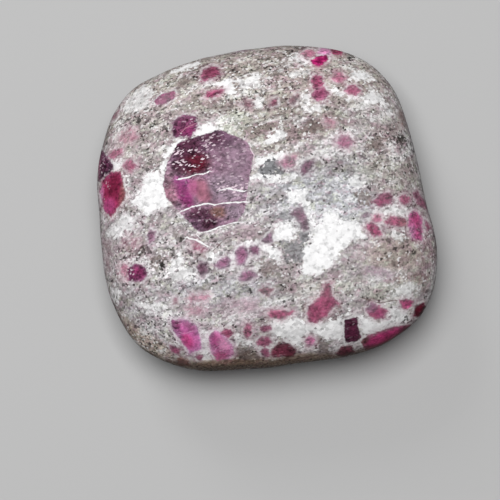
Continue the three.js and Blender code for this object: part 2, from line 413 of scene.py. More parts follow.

# Soft colours of the ground mass, laid one over the other. Two of them paint shade, as noted at each
GROUNDS = (
    # Partly the tan of the far side, partly painted shade: darker where the overhead light falls more
    # strongly
    Wash("tan", (262, 76), (160, 44), 0, 0.95),
    Wash("tan", (285, 130), (60, 24), 8, 0.9),
    Wash("brown", (285, 130), (90, 17), 8, 0.25),
    Wash("tan", (150, 125), (60, 40), 20, 0.5),
    Wash("sage", (236, 124), (20, 13), 0, 0.85),
    Wash("sage", (170, 84), (16, 9), 20, 0.4),
    Wash("brown", (280, 62), (24, 12), 15, 0.4),
    Wash("tan", (272, 86), (18, 7), 10, 0.7),
    Wash("tan", (230, 60), (30, 10), 12, 0.4),
    Wash("blush", (300, 130), (24, 14), 10, 0.35),
    Wash("brown", (312, 128), (10, 6), 15, 0.4),
    Wash("tan", (385, 125), (26, 14), 10, 0.5),
    Wash("brown", (376, 142), (14, 7), 15, 0.4),
    Wash("tan", (385, 175), (36, 24), 0, 0.6),
    Wash("quartz", (325, 190), (48, 42), 0, 0.75),
    Wash("quartz", (285, 200), (30, 22), 0, 0.5),
    Wash("brown", (325, 156), (38, 11), 8, 0.3),
    Wash("brown", (309, 160), (18, 9), 8, 0.55),
    Wash("brown", (356, 150), (16, 8), 8, 0.4),
    Wash("brown", (286, 125), (30, 13), 8, 0.55),
    Wash("brown", (256, 128), (20, 12), 8, 0.5),
    Wash("blush", (340, 140), (13, 9), 0, 0.6),
    Wash("brown", (230, 274), (22, 11), 0, 0.4),
    Wash("brown", (328, 120), (26, 11), 8, 0.45),
    Wash("brown", (322, 162), (22, 15), 8, 0.4),
    Wash("brown", (184, 84), (18, 12), 20, 0.45),
    Wash("feldspar", (390, 314), (34, 12), 12, 0.5),
    Wash("brown", (302, 288), (20, 8), 8, 0.3),
    Wash("feldspar", (391, 119), (12, 8), 10, 0.25),
    Wash("quartz", (350, 205), (30, 18), 0, 0.5),
    Wash("honey", (398, 254), (36, 20), 0, 0.55),
    Wash("sage", (396, 290), (34, 9), 8, 0.6),
    Wash("sage", (330, 288), (40, 8), 8, 0.4),
    Wash("blush", (245, 232), (16, 9), 10, 0.5),
    Wash("tan", (300, 290), (36, 14), 5, 0.3),
    Wash("quartz", (226, 292), (60, 18), 0, 0.6),
    Wash("blush", (230, 312), (44, 16), 5, 0.3),
    Wash("honey", (148, 344), (36, 10), -32, 0.8),
    Wash("honey", (124, 322), (22, 7), -48, 0.6),
    Wash("quartz", (140, 300), (28, 16), 0, 0.3),
    Wash("blush", (135, 250), (30, 12), 10, 0.2),
    Wash("brown", (114, 280), (14, 36), 0, 0.1),
    # Painted shade: darker along the near-left rim
    Wash("brown", (108, 315), (14, 26), -20, 0.55),
    Wash("brown", (250, 268), (22, 14), 0, 0.25),
    Wash("brown", (112, 126), (15, 18), 0, 0.4),
    Wash("honey", (250, 368), (120, 11), 2, 0.6),
    Wash("russet", (388, 143), (22, 9), 0, 0.35),
    Wash("sage", (376, 172), (30, 10), 0, 0.25),
    Wash("russet", (410, 279), (22, 6), 8, 0.6),
    Wash("dusty", (428, 248), (9, 46), -8, 0.5),
    Wash("brown", (424, 190), (8, 50), -12, 0.3),
)

# Where the near wall and its shoulder are darkened: painted shade, with some of the wall's own brown
SHADE_AND_STAIN_ZONES = (
    Zone((236, 373), (92, 15), 2, 1.0),
    Zone((300, 367), (48, 13), 8, 1.0),
    Zone((243, 354), (16, 8), 0, 0.5),
)

# Where the ground mass is full of black and white grains, and where it is calm
SPECKLED = (
    Zone((252, 84), (54, 30), 10, 1.0),
    Zone((136, 262), (36, 18), 0, 1.0),
    Zone((148, 106), (38, 26), 20, 0.9),
    Zone((385, 150), (34, 20), 0, 0.7),
    Zone((180, 260), (40, 26), 0, 0.8),
    Zone((165, 335), (30, 20), -25, 0.8),
)
CALM = (
    Zone((375, 265), (60, 26), 0, 0.5),
    Zone((250, 296), (60, 18), 0, 0.3),
)

CRACKS = (
    Crack("feldspar", 0.075, "179,179 190,177 197,174 204,174 209,172"),
    Crack("feldspar", 0.075, "182,211 192,207 208,203 214,205 224,203 247,202"),
    Crack("feldspar", 0.11, "222,190 228,188 234,190 243,191"),
    Crack("feldspar", 0.07, "199,233 210,231 222,226 237,222"),
    Crack("milk", 0.05, "251,150 254,155 254,160"),
    Crack("rose", 0.06, "181,132 187,127 195,124"),
    Crack("orchid", 0.04, "214,351 219,346 224,343"),
    Crack("orchid", 0.035, "178,332 184,334 193,331"),
    Crack("feldspar", 0.09, "188,238 197,240 207,246"),
    Crack("rose", 0.07, "111,158 122,152"),
    Crack("brown", 0.05, "362,298 380,303 396,300"),
    Crack("brown", 0.05, "229,236 222,242 214,250"),
)


class Hidden(NamedTuple):
    """Patches of a mineral where the photograph doesn't reach: the colours they are drawn from, their
    middling radius in mm, and the width in mm over which their edges fade."""

    tints: tuple
    radius: float
    edge: float


HIDDEN_CRYSTALS = Hidden(
    ("raspberry", "raspberry", "wine", "wine", "plum", "pink", "rose", "garnet", "mauve", "dusty"), 0.95, 0.14
)
HIDDEN_FELDSPAR = Hidden(("feldspar",), 1.2, 0.25)
HIDDEN_DARKS = Hidden(("brown", "slate", "mica"), 0.45, DARK_EDGE)
HIDDEN_GROUNDS = ("tan", "sage", "blush", "quartz", "brown")
# They lie below this share of the stone's height, and go this far into it in mm
HIDDEN_SHARE = 0.42
HIDDEN_THICKNESS = 1.5
# Their fewest and most corners, how much their sizes spread, how far their corners lie in or out, how much
# longer than wide they are, and how solid
HIDDEN_CORNERS = (5, 7)
HIDDEN_SPREAD = 0.45
HIDDEN_REACH = (0.75, 1.2)
HIDDEN_STRETCH = 1.3
HIDDEN_FILL = (0.8, 1.0)

# The colours of the ground mass that show on the dome fade out between these heights, and the hidden ones
# have their middles below the last one
DOME_FADE = (2.4 * MM, 4.4 * MM)
HIDDEN_HEIGHT = 3.2 * MM
# The strength of a hidden ground colour, how far it reaches in mm, and how far it is at full strength
HIDDEN_WASH = (0.3, 0.7)
HIDDEN_WASH_REACH = (2.5, 5.0)
HIDDEN_WASH_FULL = 0.5

# The shares of a normal between which the near wall's painted shade and brown stain fade in: towards the
# near side, up the shoulder and under the stone
SHADE_AND_STAIN_NEAR = (0.6, 0.95)
SHADE_AND_STAIN_SHOULDER = (0.7, 0.0)
SHADE_AND_STAIN_FOOT = (-0.85, -0.1)

# The relief: the depths inside a crystal, in mm, between which it rises and between which pits end, the
# waves that make the swells, and how much swells and pits vary
PROUD_FADE = (-0.1, 0.15)
PIT_END = (-0.2, 0.1)
WAVES = 14
WAVE_SPREAD = (0.6, 1.8)
PIT_SPREAD = 0.35
PIT_DEPTHS = (0.4, 1.3)


class Noise(NamedTuple):
    """Procedural noise: its swells in a millimetre, its rounds of finer detail and how rough those are."""

    scale: float
    detail: float
    roughness: float


GROUND_HUES = Noise(1.3, 4.0, 0.65)
GROUND_BANDS = Noise(0.6, 5.0, 0.66)
GRAIN_BORDERS = Noise(2.2, 3.0, 0.5)
FELDSPAR_BORDER = Noise(0.9, 4.0, 0.7)
FELDSPAR_CLOUDS = Noise(1.3, 3.0, 0.6)
DARK_BORDER = Noise(2.0, 4.0, 0.7)
RUBY_BORDER = Noise(2.0, 5.0, 0.7)
RUBY_FRAY = Noise(1.1, 4.0, 0.7)
RUBY_RIM = Noise(1.6, 2.0, 0.5)
RUBY_BLADES = Noise(2.6, 3.0, 0.65)
RUBY_CLOUDS = Noise(1.2, 3.0, 0.6)
RUBY_VEILS = Noise(3.2, 3.0, 0.7)
RUBY_GLOOM = Noise(2.0, 3.0, 0.6)
FLAW_ROWS = Noise(1.5, 2.0, 0.5)
CRACK_WANDER = Noise(2.4, 2.0, 0.5)
CRACK_WIDTHS = Noise(1.8, 3.0, 0.5)
# Unevenness of the near wall's painted shade and stain
SHADE_AND_STAIN_CLOUDS = Noise(0.8, 4.0, 0.65)
POLISH = Noise(3.2, 3.0, 0.6)
POLISH_RIPPLE = Noise(5.0, 3.0, 0.65)


class Grains(NamedTuple):
    """White or black grains of the ground mass, the white ones also painted glints of the polish: their share
    of all its grains, how much that grows in a band of their own tone and in a speckled zone, how strongly
    they show, and the blur of the share."""

    share: float
    in_band: float
    in_zone: float
    strength: float
    blur: float


# White grains of the ground mass, which also stand in for the tiny glints of the polish as painted glints
COARSE_SALT_AND_GLINTS = Grains(0.025, 0.12, 0.02, 0.42, 0.015)
FINE_SALT_AND_GLINTS = Grains(0.04, 0.1, 0.04, 0.7, 0.015)
COARSE_PEPPER = Grains(0.0075, 0.05, 0.015, 0.68, 0.0075)
FINE_PEPPER = Grains(0.03, 0.06, 0.05, 0.85, 0.015)

# Grains in a millimetre
COARSE_GRAINS = 3.0
FINE_GRAINS = 5.6
FELDSPAR_GRAINS = 3.4
DARK_GRAINS = 4.4
RUBY_GRAINS = 5.2
RUBY_FLAWS = 6.5


def colour(name, description, rgb):
    """A colour that a user may change."""
    return FloatVectorProperty(
        name=name, description=description, subtype="COLOR", size=3, min=0.0, max=1.0, default=rgb
    )


def length(name, description, metres):
    """A length that a user may change."""
    return FloatProperty(
        name=name, description=description, unit="LENGTH", precision=6, min=0.0, default=metres
    )


def angle(name, description, degrees):
    """An angle that a user may change."""
    return FloatProperty(name=name, description=description, subtype="ANGLE", default=math.radians(degrees))


def power(name, description, watts):
    """A light's power that a user may change."""
    return FloatProperty(name=name, description=description, unit="POWER", min=0.0, default=watts)


def count(name, description, number):
    """A whole number that a user may change."""
    return IntProperty(name=name, description=description, min=0, default=number)


class RubyStoneColours(bpy.types.PropertyGroup):
    """The colours of the minerals."""

    ground: colour("Ground", "Fine ground mass between the larger patches", (0.465, 0.42, 0.435))
    feldspar: colour("Feldspar", "White patches and healed cracks", (0.935, 0.93, 0.935))
    quartz: colour("Quartz", "Clear grey parts of the ground mass", (0.50, 0.515, 0.555))
    tan: colour("Tan", "Tan parts of the ground mass", (0.37, 0.32, 0.295))
    honey: colour("Honey", "Warm tan along the near rim", (0.430, 0.340, 0.275))
    sage: colour("Sage", "Parts of the ground mass with a green cast", (0.53, 0.55, 0.46))
    blush: colour("Blush", "Parts of the ground mass that are full of fine ruby", (0.44, 0.30, 0.355))
    brown: colour("Brown", "Brown mica", (0.195, 0.15, 0.14))
    slate: colour("Slate", "Dark grey patches", (0.20, 0.20, 0.21))
    mica: colour("Mica", "Black mica", (0.022, 0.018, 0.016))
    # Painted shade on the near wall, with some of its brown: the share of each colour it lets through
    stain: colour("Stain", "The share of each colour that a full stain lets through", (0.46, 0.37, 0.30))
    core: colour("Core", "The share of each colour left in a small crystal's core", (1.0, 0.64, 0.82))
    blackberry: colour("Blackberry", "Darkest ruby", (0.078, 0.022, 0.045))
    plum: colour("Plum", "Dark purple ruby", (0.135, 0.064, 0.112))
    garnet: colour("Garnet", "Dark red ruby", (0.095, 0.009, 0.022))
    wine: colour("Wine", "Deep red ruby", (0.240, 0.085, 0.140))
    raspberry: colour("Raspberry", "Ruby of middle depth", (0.330, 0.105, 0.175))
    crimson: colour("Crimson", "Clearest ruby", (0.330, 0.014, 0.115))
    mulberry: colour("Mulberry", "Dark red purple ruby", (0.165, 0.050, 0.110))
    maroon: colour("Maroon", "Dark brownish red ruby", (0.160, 0.052, 0.072))
    cerise: colour("Cerise", "Deep pinkish red ruby", (0.300, 0.045, 0.110))
    brick: colour("Brick", "Ruby with an orange cast", (0.380, 0.160, 0.170))
    cherry: colour("Cherry", "Hot pink core of a crystal", (0.520, 0.070, 0.230))
    milk: colour("Milk", "Milky flaws in the ruby", (0.820, 0.660, 0.740))
    magenta: colour("Magenta", "Purple red ruby", (0.300, 0.030, 0.170))
    fuchsia: colour("Fuchsia", "Bright purple red ruby", (0.420, 0.100, 0.240))
    pink: colour("Pink", "Bright pink ruby", (0.520, 0.215, 0.420))
    rose: colour("Rose", "Pale red ruby", (0.450, 0.190, 0.270))
    orchid: colour("Orchid", "Pale purple ruby", (0.640, 0.300, 0.500))
    coral: colour("Coral", "Orange cast in the great crystal", (0.400, 0.150, 0.215))
    violet: colour("Violet", "Blue cast in the great crystal", (0.340, 0.070, 0.240))
    mauve: colour("Mauve", "Greyed purple ruby", (0.270, 0.160, 0.225))
    lilac: colour("Lilac", "Pale greyed purple ruby", (0.300, 0.220, 0.280))
    dusk: colour("Dusk", "Dark greyed ruby", (0.185, 0.135, 0.165))
    dusty: colour("Dusty", "Dull brownish ruby", (0.235, 0.130, 0.155))
    russet: colour("Russet", "Brown ruby", (0.205, 0.105, 0.085))


class RubyStoneSizes(bpy.types.PropertyGroup):
    """The sizes of the surface relief, and how deep and how many the patches of each mineral are."""

    ruby_proud: length("Ruby height", "How far the hard crystals stand above the ground mass", 0.018 * MM)
    wave_height: length("Wave height", "Unevenness of the polished surface", 0.03 * MM)
    wave_length: length("Wave length", "Distance between the swells of the polished surface", 6.0 * MM)
    pit_radius: length("Pit radius", "Radius of a middling pit", 0.3 * MM)
    pit_depth: length("Pit depth", "Depth of a middling pit", 0.06 * MM)
    groove_depth: length("Groove depth", "Depth of the groove along a healed crack", 0.015 * MM)
    ripple: length("Ripple", "Height of the finest ripple in the polish", 0.02 * MM)
    crystal_depth: length("Crystal depth", "How far a crystal reaches down into the stone", 4.4 * MM)
    feldspar_depth: length("Feldspar depth", "How far a white patch reaches down into the stone", 2.4 * MM)
    dark_depth: length("Dark depth", "How far a dark patch reaches down into the stone", 2.0 * MM)
    pits: count("Pits", "Number of pits over the whole stone", 260)
    hidden_crystals: count("Hidden crystals", "Number of crystals under the girdle", 46)
    hidden_patches: count("Hidden patches", "Number of white patches under the girdle", 40)
    hidden_specks: count("Hidden specks", "Number of dark patches under the girdle", 24)
    hidden_washes: count("Hidden colours", "Number of soft ground colours under the girdle", 26)
    seed: count("Seed", "Start of the random placing", 11)


class RubyStoneStage(bpy.types.PropertyGroup):
    """The floor, the light and the camera."""

    floor: colour("Floor", "Colour of the floor", (0.52, 0.52, 0.52))
    floor_side: length("Floor side", "Side of the square floor", 2.4)
    floor_gap: length("Floor gap", "Gap under the stone that keeps the two faces apart", 0.02 * MM)
    key_power: power("Key power", "Power of the overhead light", 3.72)
    key_side: length("Key side", "Side of the square overhead light", 0.45)
    key_distance: length("Key distance", "Distance of the overhead light from the stone", 0.62)
    key_lean: angle("Key lean", "Lean of the overhead light away from upright", 11)
    key_bearing: angle("Key bearing", "Bearing of the overhead light from +X", 125)
    sheen_power: power("Sheen power", "Power of the low light", 0.75)
    sheen_side: length("Sheen side", "Side of the square low light", 0.2)
    sheen_distance: length("Sheen distance", "Distance of the low light from the stone", 0.6)
    sheen_lean: angle("Sheen lean", "Lean of the low light away from upright", 63)
    sheen_bearing: angle("Sheen bearing", "Bearing of the low light from +X", 120)
    fill: FloatProperty(name="Fill", description="Strength of the light from all round", min=0.0, default=0.1)


class Socket:
    """A shader socket in Python expressions: each operator adds the Math node that works it out."""

    def __init__(self, shader, socket):
        self.shader = shader
        self.socket = socket

    def __add__(self, other):
        return self.shader.math("ADD", self, other)

    def __radd__(self, other):
        return self.shader.math("ADD", other, self)

    def __sub__(self, other):
        return self.shader.math("SUBTRACT", self, other)

    def __rsub__(self, other):
        return self.shader.math("SUBTRACT", other, self)

    def __mul__(self, other):
        return self.shader.math("MULTIPLY", self, other)

    def __rmul__(self, other):
        return self.shader.math("MULTIPLY", other, self)

    def __truediv__(self, other):
        return self.shader.math("DIVIDE", self, other)

    def __rtruediv__(self, other):
        return self.shader.math("DIVIDE", other, self)

    def __abs__(self):
        return self.shader.math("ABSOLUTE", self)


class Shader:
    """A new material, and the ways to add nodes to it."""

    def __init__(self, name):
        self.material = bpy.data.materials.new(name)
        self.material.use_nodes = True
        self.tree = self.material.node_tree
        self.tree.nodes.clear()

    def node(self, kind, settings, inputs, output=0):
        """Adds a node, makes its settings, then sets or links its inputs, and returns one output."""
        node = self.tree.nodes.new(kind)
        for name, setting in settings.items():
            setattr(node, name, setting)
        for name, value in inputs.items():
            if isinstance(value, Socket):
                self.tree.links.new(value.socket, node.inputs[name])
            else:
                node.inputs[name].default_value = value
        return Socket(self, node.outputs[output]) if node.outputs else node

    def math(self, operation, *values):
        """A Math node on one or two values."""
        return self.node("ShaderNodeMath", {"operation": operation}, dict(enumerate(values)))

    def ramp(self, value, low, high):
        """0 at or beyond low, 1 at or beyond high, and a smooth rise between them."""
        return self.node(
            "ShaderNodeMapRange",
            {"interpolation_type": "SMOOTHSTEP"},
            {"Value": value, "From Min": low, "From Max": high},
        )

    def mix(self, factor, first, second):
        """The first colour where the factor is 0, the second where it is 1."""
        colours = {6: solid(first), 7: solid(second)}
        return self.node("ShaderNodeMix", {"data_type": "RGBA"}, {0: factor, **colours}, 2)

    def shade(self, tint, value):
        """A colour made lighter or darker by a value."""
        return self.node("ShaderNodeVectorMath", {"operation": "SCALE"}, {0: tint, "Scale": value})

    def multiply(self, tint, other):
        """One colour seen through another."""
        return self.node("ShaderNodeVectorMath", {"operation": "MULTIPLY"}, {0: tint, 1: other})

    def value(self, name):
        """A number kept at each vertex."""
        return self.node("ShaderNodeAttribute", {"attribute_name": name}, {}, "Fac")

    def paint(self, name):
        """A colour kept at each vertex."""
        return self.node("ShaderNodeAttribute", {"attribute_name": name}, {}, "Color")

    def noise(self, place, noise):
        """Noise about zero, from roughly -0.5 to 0.5."""
        inputs = {"Scale": noise.scale, "Detail": noise.detail, "Roughness": noise.roughness}
        return self.node("ShaderNodeTexNoise", {}, {"Vector": place, **inputs}) - 0.5

    def draws(self, place, scale):
        """Three random draws from 0 to 1 for each grain, with this many grains in a millimetre."""
        grain = self.node("ShaderNodeTexVoronoi", {}, {"Vector": place, "Scale": scale}, "Color")
        return [self.node("ShaderNodeSeparateColor", {}, {"Color": grain}, output) for output in range(3)]

    def finish(self, inputs):
        """Ends the material in one Principled surface."""
        surface = self.node("ShaderNodeBsdfPrincipled", {}, inputs)
        self.node("ShaderNodeOutputMaterial", {}, {"Surface": surface})
        return self.material


def solid(value):
    """A colour of three numbers with its alpha, or a socket as it is."""
    return value if isinstance(value, Socket) else (*value, 1.0)


def photo_axes():
    """The photograph's right, up and back directions, and the place of its camera."""
    right = Vector((1, 0, 0))
    up = Vector((0, math.sin(PHOTO_ELEVATION), math.cos(PHOTO_ELEVATION)))
    back = right.cross(up)
    return right, up, back, PHOTO_AIM + back * PHOTO_DISTANCE


def photo_pixels(points):
    """Where each point of the stone falls in the photograph, in pixels."""
    right, up, back, stand = (np.array(v) for v in photo_axes())
    away = points - stand
    size = PHOTO_SCALE * PHOTO_DISTANCE / -(away @ back)
    middle = PHOTO_SIDE / 2
    return np.column_stack((middle + size * (away @ right), middle - size * (away @ up)))


def places(text):
    """Reads places that are written as x,y pairs with spaces between them."""
    return [tuple(float(number) for number in pair.split(",")) for pair in text.split()]


def depth_inside(points, corners):
    """Distance of each point from the outline through the corners, positive inside it."""
    distance = np.full(len(points), np.inf)
    inside = np.zeros(len(points), bool)
    x, y = points.T
    for (ax, ay), (bx, by) in zip(corners, corners[1:] + corners[:1]):
        dx, dy = bx - ax, by - ay
        along = np.clip(((x - ax) * dx + (y - ay) * dy) / (dx * dx + dy * dy), 0, 1)
        distance = np.minimum(distance, np.hypot(x - ax - along * dx, y - ay - along * dy))
        crosses = (ay > y) != (by > y)
        inside ^= crosses & (x < ax + (y - ay) * dx / (dy or 1))
    return np.where(inside, distance, -distance)


def ramp(value, low, high):
    """0 at or beyond low, 1 at or beyond high, and a smooth rise between them."""
    share = np.clip((value - low) / (high - low), 0, 1)
    return share * share * (3 - 2 * share)


class Surface:
    """The stone's vertices, and what lies at each of them."""

    def __init__(self, mesh, colours):
        self.mesh = mesh
        self.colours = colours
        self.points = self.read("co")
        self.normals = self.read("normal")
        self.pixels = photo_pixels(self.points)

    def read(self, name):
        values = np.empty(len(self.mesh.vertices) * 3)
        self.mesh.vertices.foreach_get(name, values)
        return values.reshape(-1, 3)

    def tint(self, name):
        return np.array(getattr(self.colours, name))

    def keep_values(self, name, values):
        kept = self.mesh.attributes.new(name, "FLOAT", "POINT")
        kept.data.foreach_set("value", values.astype(np.float32))

    def keep_colours(self, name, rgb):
        rgba = np.column_stack((rgb, np.ones(len(rgb)))).astype(np.float32)
        kept = self.mesh.attributes.new(name, "FLOAT_COLOR", "POINT")
        kept.data.foreach_set("color", rgba.ravel())


class Layer:
    """One kind of mineral over the surface: its depth inside the nearest outline in mm, and that mark's
    edge, fill and colour."""

    OUTSIDE = -3.0
    PLAIN_EDGE = 0.2

    def __init__(self, surface, name):
        number = len(surface.points)
        self.surface = surface
        self.name = name
        self.depth = np.full(number, self.OUTSIDE)
        self.edge = np.full(number, self.PLAIN_EDGE)
        self.fill = np.zeros(number)
        self.colour = np.zeros((number, 3))

    def add(self, depth, tint, edge, fill):
        """Lays one mark down where it is nearer than those before it, and returns where that is."""
        nearer = depth > self.depth
        self.depth[nearer] = depth[nearer]
        self.edge[nearer] = edge
        self.fill[nearer] = fill
        self.colour[nearer] = self.surface.tint(tint)
        return nearer

    def add_mark(self, mark, reach):
        """Lays a mark down. It goes straight down from the highest point of the stone inside its outline,
        as far as the reach."""
        height = self.surface.points[:, 2]
        across = depth_inside(self.surface.pixels, places(mark.outline)) * PIXEL
        top = height[across > 0].max()
        depth = np.minimum(across, height - (top - reach)) / MM
        return self.add(depth, mark.tint, mark.edge, mark.fill)

    def scatter(self, hidden, number, rng):
        """Lays down angular patches at random places below the girdle."""
        points, normals = self.surface.points, self.surface.normals
        low = np.flatnonzero(points[:, 2] < points[:, 2].max() * HIDDEN_SHARE)
        for seed in rng.choice(low, number):
            away = points - points[seed]
            corners = self.angular(hidden.radius, rng)
            flat = np.column_stack([away @ axis for axis in tangents(normals[seed])]) / MM
            below = HIDDEN_THICKNESS - np.abs(away @ normals[seed]) / MM
            depth = np.minimum(depth_inside(flat, corners), below)
            tint = hidden.tints[rng.integers(len(hidden.tints))]
            self.add(depth, tint, hidden.edge, rng.uniform(*HIDDEN_FILL))

    @staticmethod
    def angular(radius, rng):
        """The corners of an uneven patch that is somewhat longer than wide."""
        number = rng.integers(*HIDDEN_CORNERS, endpoint=True)
        turns = np.sort(rng.uniform(0, math.tau, number))
        size = radius * rng.lognormal(0, HIDDEN_SPREAD)
        reach = size * rng.uniform(*HIDDEN_REACH, number)
        return tuple(zip(reach * np.cos(turns) * HIDDEN_STRETCH, reach * np.sin(turns)))

    def keep(self):
        for part in ("depth", "edge", "fill"):
            self.surface.keep_values(f"{self.name}_{part}", getattr(self, part))
        self.surface.keep_colours(f"{self.name}_colour", self.colour)


def tangents(normal):
    """Two directions along the surface at right angles to each other."""
    normal = Vector(normal)
    across = normal.orthogonal().normalized()
    return np.array(across), np.array(normal.cross(across))


def oval_weight(pixels, oval):
    """How strong a zone or wash is at each point: full well inside its reach, and nothing well outside."""
    full, nothing = 0.55, 1.35
    turn = math.radians(oval.turn)
    x, y = (pixels - oval.middle).T
    along = (x * math.cos(turn) - y * math.sin(turn)) / oval.reach[0]
    across = (x * math.sin(turn) + y * math.cos(turn)) / oval.reach[1]
    return oval.strength * ramp(np.hypot(along, across), nothing, full)


def zone_weight(surface, zones):
    """The strongest of several zones at each point."""
    return np.max([oval_weight(surface.pixels, zone) for zone in zones], axis=0)


def lay_washes(surface, rgb, washes, where):
    """Colours with washes laid over them, one after the other."""
    for wash in washes:
        weight = (oval_weight(surface.pixels, wash) * where)[:, None]
        rgb = rgb + (surface.tint(wash.tint) - rgb) * weight
    return rgb


def ruby_layer(surface, sizes, rng):
    """The crystals: random ones under the girdle, and those seen on the dome."""
    layer = Layer(surface, "ruby")
    layer.scatter(HIDDEN_CRYSTALS, sizes.hidden_crystals, rng)
    great = np.zeros(len(surface.points))
    for mark in CRYSTALS:
        nearer = layer.add_mark(mark, sizes.crystal_depth)
        great[nearer] = mark is GREAT_CRYSTAL
    layer.colour = lay_washes(surface, layer.colour, GREAT_ZONES, great)
    layer.colour = lay_washes(surface, layer.colour, CRYSTAL_ZONES, 1 - great)
    least_flawed = 0.3 * great
    surface.keep_values("ruby_great", great)
    surface.keep_values("ruby_clear", zone_weight(surface, CLEAR_ZONES))
    surface.keep_values("ruby_deep", zone_weight(surface, DEEP_ZONES))
    surface.keep_values("ruby_flawed", np.maximum(zone_weight(surface, FLAWED_ZONES), least_flawed))
    layer.keep()
    return layer


def patch_layer(surface, name, marks, reach, hidden, number, rng):
    """Patches of one mineral: random ones under the girdle, and those seen on the dome."""
    layer = Layer(surface, name)
    layer.scatter(hidden, number, rng)
    for mark in marks:
        layer.add_mark(mark, reach)
    layer.keep()


def ground_colour(surface, number, rng):
    """The ground mass: soft colours read from above on the dome, and soft random ones under the girdle."""
    height = surface.points[:, 2]
    dome = ramp(height, *DOME_FADE)
    rgb = np.tile(surface.tint("ground"), (len(height), 1))
    rgb = lay_washes(surface, rgb, GROUNDS, dome)
    for seed in rng.choice(np.flatnonzero(height < HIDDEN_HEIGHT), number):
        away = np.linalg.norm(surface.points - surface.points[seed], axis=1) / MM
        strength = rng.uniform(*HIDDEN_WASH)
        reach = rng.uniform(*HIDDEN_WASH_REACH)
        weight = strength * ramp(away, reach, HIDDEN_WASH_FULL) * (1 - dome)
        tint = surface.tint(HIDDEN_GROUNDS[rng.integers(len(HIDDEN_GROUNDS))])
        rgb += (tint - rgb) * weight[:, None]
    return rgb


def shade_and_stain_field(surface):
    """How strongly the near wall is darkened, fading out under the stone: painted shade, with some of the
    wall's own brown.
    """
    x, y, up = surface.normals.T
    level = np.hypot(x, y)
    near = np.divide(-y, level, out=np.zeros_like(y), where=level > 0)
    walls = ramp(near, *SHADE_AND_STAIN_NEAR) * ramp(up, *SHADE_AND_STAIN_SHOULDER)
    return np.maximum(walls, zone_weight(surface, SHADE_AND_STAIN_ZONES)) * ramp(up, *SHADE_AND_STAIN_FOOT)


class CrackField:
    """For each vertex the signed distance from the nearest crack and half that crack's width, in mm, and
    its colour. The width is zero away from the cracks, so a change of sign draws no line there."""

    OUTSIDE = 3.0
    REACH = 0.7
    FADE = (0.3, 0.5)
    LOWEST = 4.0 * MM

    def __init__(self, surface):
        number = len(surface.points)
        self.surface = surface
        self.side = np.full(number, self.OUTSIDE)
        self.width = np.zeros(number)
        self.colour = np.zeros((number, 3))
        self.nearest = np.full(number, self.REACH)
        for crack in CRACKS:
            course = places(crack.course)
            for start, end in zip(course, course[1:]):
                self.add(crack, start, end)

    def add(self, crack, start, end):
        """Lays down one straight run of a crack where it is nearer than those before it."""
        x, y = (self.surface.pixels - start).T
        dx, dy = np.subtract(end, start)
        run = math.hypot(dx, dy)
        along = (x * dx + y * dy) / run
        across = (x * dy - y * dx) / run * PIXEL / MM
        beyond = np.maximum(0, np.maximum(-along, along - run)) * PIXEL / MM
        far = np.hypot(across, beyond)
        near = (far < self.nearest) & (self.surface.points[:, 2] > self.LOWEST)
        self.nearest[near] = far[near]
        self.side[near] = np.copysign(far, across)[near]
        self.width[near] = crack.width * (1 - ramp(far[near], *self.FADE))
        self.colour[near] = self.surface.tint(crack.tint)

    def keep(self):
        self.surface.keep_values("crack_side", self.side)
        self.surface.keep_values("crack_width", self.width)
        self.surface.keep_colours("crack_colour", self.colour)


def swells(points, rng, wave_length):
    """Gentle waves over the surface, from roughly -1 to 1."""
    total = np.zeros(len(points))
    for _ in range(WAVES):
        heading = rng.normal(size=3)
        heading *= math.tau / wave_length / np.linalg.norm(heading) * rng.uniform(*WAVE_SPREAD)
        total += np.sin(points @ heading + rng.uniform(0, math.tau))
    return total / math.sqrt(WAVES)


def pit_field(surface, sizes, rng):
    """Depth of the small pits at each vertex, in metres."""
    depth = np.zeros(len(surface.points))
    for seed in rng.choice(len(surface.points), sizes.pits):
        radius = sizes.pit_radius * rng.lognormal(0, PIT_SPREAD)
        share = np.linalg.norm(surface.points - surface.points[seed], axis=1) / radius
        bowl = np.clip(1 - share * share, 0, 1) ** 2
        depth = np.maximum(depth, sizes.pit_depth * rng.uniform(*PIT_DEPTHS) * bowl)
    return depth


def fine_mesh(name):
    """A copy of the solid's mesh with its loose triangles joined, cut finer twice and smoothed each time."""
    merge_distance = 0.001 * MM
    smoothing_rounds = (5, 4)
    shape = bmesh.new()
    shape.from_mesh(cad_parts[STONE_NODE].data)
    bmesh.ops.remove_doubles(shape, verts=shape.verts[:], dist=merge_distance)
    for rounds in smoothing_rounds:
        bmesh.ops.subdivide_edges(shape, edges=shape.edges[:], cuts=1, use_grid_fill=True)
        for _ in range(rounds):
            bmesh.ops.smooth_vert(
                shape, verts=shape.verts[:], factor=0.5, use_axis_x=True, use_axis_y=True, use_axis_z=True
            )
    mesh = bpy.data.meshes.new(name)
    shape.to_mesh(mesh)
    shape.free()
    mesh.shade_smooth()
    return mesh


def carve(surface, sizes, ruby, cracks, rng):
    """Moves the vertices along their normals: crystals proud, swells, pits and grooved cracks. No pit lies
    in a crystal, and nothing goes below the resting face."""
    proud = sizes.ruby_proud * ramp(ruby.depth, *PROUD_FADE) * ruby.fill
    wave = sizes.wave_height * swells(surface.points, rng, sizes.wave_length)
    pits = pit_field(surface, sizes, rng) * (1 - ramp(ruby.depth, *PIT_END) * ruby.fill)
    groove = sizes.groove_depth * (np.abs(cracks.side) < cracks.width * 2)
    surface.keep_values("pit", pits / sizes.pit_depth)
    move = proud + wave - pits - groove
    moved = surface.points + surface.normals * move[:, None]
    moved[:, 2] = np.maximum(moved[:, 2], 0)
    surface.mesh.vertices.foreach_set("co", moved.ravel())
    surface.mesh.update()


